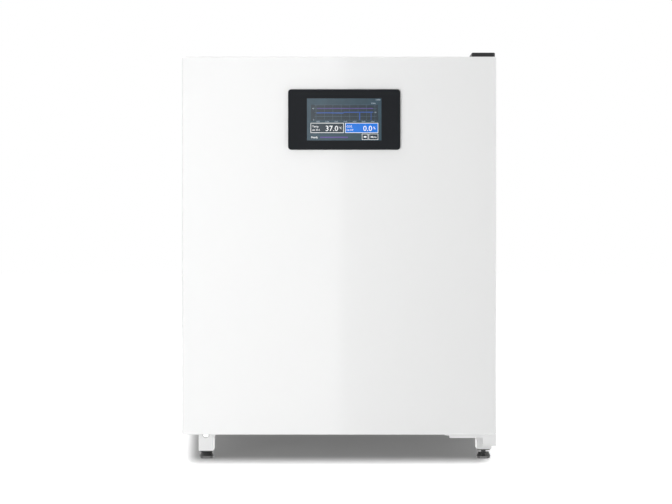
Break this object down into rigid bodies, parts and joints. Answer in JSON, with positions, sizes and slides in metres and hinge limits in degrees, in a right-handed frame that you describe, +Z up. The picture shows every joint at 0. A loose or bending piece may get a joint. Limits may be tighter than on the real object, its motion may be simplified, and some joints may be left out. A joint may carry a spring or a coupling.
{
  "type": "carbon dioxide incubator",
  "caption": "Carbon dioxide incubator with an insulated front door, inner glass door, slotted shelves, water tray, touch screen and levelling feet.",
  "frame": {"origin": "on the floor, under the centre of the bounding box", "axes": "+Z up, the front door faces -Y and hinges at its +X side"},
  "size_m": [0.6532, 0.7174, 0.853],
  "materials": {
    "white_paint": "gloss powder coat",
    "stainless": "brushed, with rounded corners",
    "bright_steel": "plated",
    "motor_metal": "painted",
    "white_foam": "matte foam",
    "white_plastic": "satin",
    "grey_rubber": "matte",
    "soft_silicone": "satin",
    "black_plastic": "satin",
    "panel_black": "gloss",
    "foot_black": "gloss",
    "clear_glass": "clear",
    "screen_glass": "clear over a lit screen",
    "screen_module": "lit screen",
    "board_green": "satin",
    "heater_amber": "satin",
    "brass": "machined"
  },
  "bodies": {
    "cabinet": {"outer_casing": "white_paint", "base_pan": "white_paint", "rear_panel": "white_paint", "front_frame": "white_paint", "chamber_liner": "stainless", "insulation": "white_foam", "heater_foil": "heater_amber", "glass_gasket": "grey_rubber", "shelf_racks": "stainless", "rack_studs": "stainless", "air_duct_cover": "stainless", "fan_motor": "motor_metal", "co2_sensor": "white_plastic", "temperature_sensor": "bright_steel", "port_sleeve": "white_plastic", "rear_cover": "white_paint", "rear_cover_screws": "bright_steel", "control_board": "board_green", "power_supply": "bright_steel", "gas_valve": "motor_metal", "gas_filter": "white_plastic", "gas_hose": "soft_silicone", "gas_inlet_fitting": "brass", "power_inlet": "black_plastic", "switch_frame": "black_plastic", "upper_hinge_plate": "bright_steel", "upper_hinge_cap": "black_plastic", "hinge_pins": "bright_steel", "lower_hinge_bracket": "white_paint", "hinge_screws": "bright_steel", "legs": "white_paint", "front_right_leg": "white_paint", "leg_lugs": "bright_steel", "latch_strike": "stainless", "glass_hinge_blocks": "stainless"},
    "door": {"door_skin": "white_paint", "door_core": "white_foam", "door_liner": "white_plastic", "door_gasket": "grey_rubber", "door_bushes": "black_plastic", "panel_housing": "panel_black", "touch_glass": "screen_glass", "display_module": "screen_module"},
    "glass_door": {"glass_pane": "clear_glass", "glass_clamps": "stainless", "latch_base": "white_plastic"},
    "latch": {"latch_knob": "black_plastic"},
    "fan": {"impeller": "stainless", "fan_shaft": "bright_steel"},
    "top_shelf": {"shelf_top": "stainless"},
    "middle_shelf": {"shelf_middle": "stainless"},
    "bottom_shelf": {"shelf_bottom": "stainless"},
    "tray": {"water_tray": "stainless"},
    "plug": {"port_plug": "soft_silicone"},
    "rocker": {"power_rocker": "black_plastic"},
    "front_left_foot": {"foot_front_left": "foot_black"},
    "front_right_foot": {"foot_front_right": "foot_black"},
    "rear_left_foot": {"foot_rear_left": "foot_black"},
    "rear_right_foot": {"foot_rear_right": "foot_black"}
  },
  "joints": [
    {"name": "door_swing", "type": "hinge", "parent": "cabinet", "child": "door", "pos_m": [0.308, -0.31275, 0.4505], "axis": [0, 0, 1], "range_deg": [0, 110]},
    {"name": "glass_door_swing", "type": "hinge", "parent": "cabinet", "child": "glass_door", "pos_m": [0.279, -0.27025, 0.447], "axis": [0, 0, 1], "range_deg": [0, 88]},
    {"name": "latch_turn", "type": "hinge", "parent": "glass_door", "child": "latch", "pos_m": [-0.233, -0.27675, 0.447], "axis": [0, 1, 0], "range_deg": [0, 90]},
    {"name": "fan_spin", "type": "hinge", "parent": "cabinet", "child": "fan", "pos_m": [0.011, 0.215, 0.467], "axis": [0, 1, 0], "continuous": true},
    {"name": "top_shelf_slide", "type": "slide", "parent": "cabinet", "child": "top_shelf", "axis": [0, -1, 0], "range_m": [0, 0.12]},
    {"name": "middle_shelf_slide", "type": "slide", "parent": "cabinet", "child": "middle_shelf", "axis": [0, -1, 0], "range_m": [0, 0.12]},
    {"name": "bottom_shelf_slide", "type": "slide", "parent": "cabinet", "child": "bottom_shelf", "axis": [0, -1, 0], "range_m": [0, 0.12]},
    {"name": "tray_slide", "type": "slide", "parent": "cabinet", "child": "tray", "axis": [0, -1, 0], "range_m": [0, 0.12]},
    {"name": "plug_slide", "type": "slide", "parent": "cabinet", "child": "plug", "axis": [0, 1, 0], "range_m": [0, 0.08]},
    {"name": "rocker_tilt", "type": "hinge", "parent": "cabinet", "child": "rocker", "pos_m": [0.121, 0.33575, 0.188], "axis": [1, 0, 0], "range_deg": [-6, 6]},
    {"name": "front_left_foot_turn", "type": "hinge", "parent": "cabinet", "child": "front_left_foot", "pos_m": [-0.2823, -0.25375, 0.01], "axis": [0, 0, 1], "continuous": true},
    {"name": "front_right_foot_turn", "type": "hinge", "parent": "cabinet", "child": "front_right_foot", "pos_m": [0.3058, -0.25375, 0.01], "axis": [0, 0, 1], "continuous": true},
    {"name": "rear_left_foot_turn", "type": "hinge", "parent": "cabinet", "child": "rear_left_foot", "pos_m": [-0.2823, 0.25675, 0.01], "axis": [0, 0, 1], "continuous": true},
    {"name": "rear_right_foot_turn", "type": "hinge", "parent": "cabinet", "child": "rear_right_foot", "pos_m": [0.3058, 0.25675, 0.01], "axis": [0, 0, 1], "continuous": true}
  ],
  "couplings": [
    {"joint": "glass_door_swing", "follows": "door_swing", "ratio": 0.8},
    {"joint": "top_shelf_slide", "follows": "door_swing", "m_per_rad": 0.062},
    {"joint": "middle_shelf_slide", "follows": "door_swing", "m_per_rad": 0.062},
    {"joint": "bottom_shelf_slide", "follows": "door_swing", "m_per_rad": 0.062},
    {"joint": "tray_slide", "follows": "door_swing", "m_per_rad": 0.062}
  ]
}
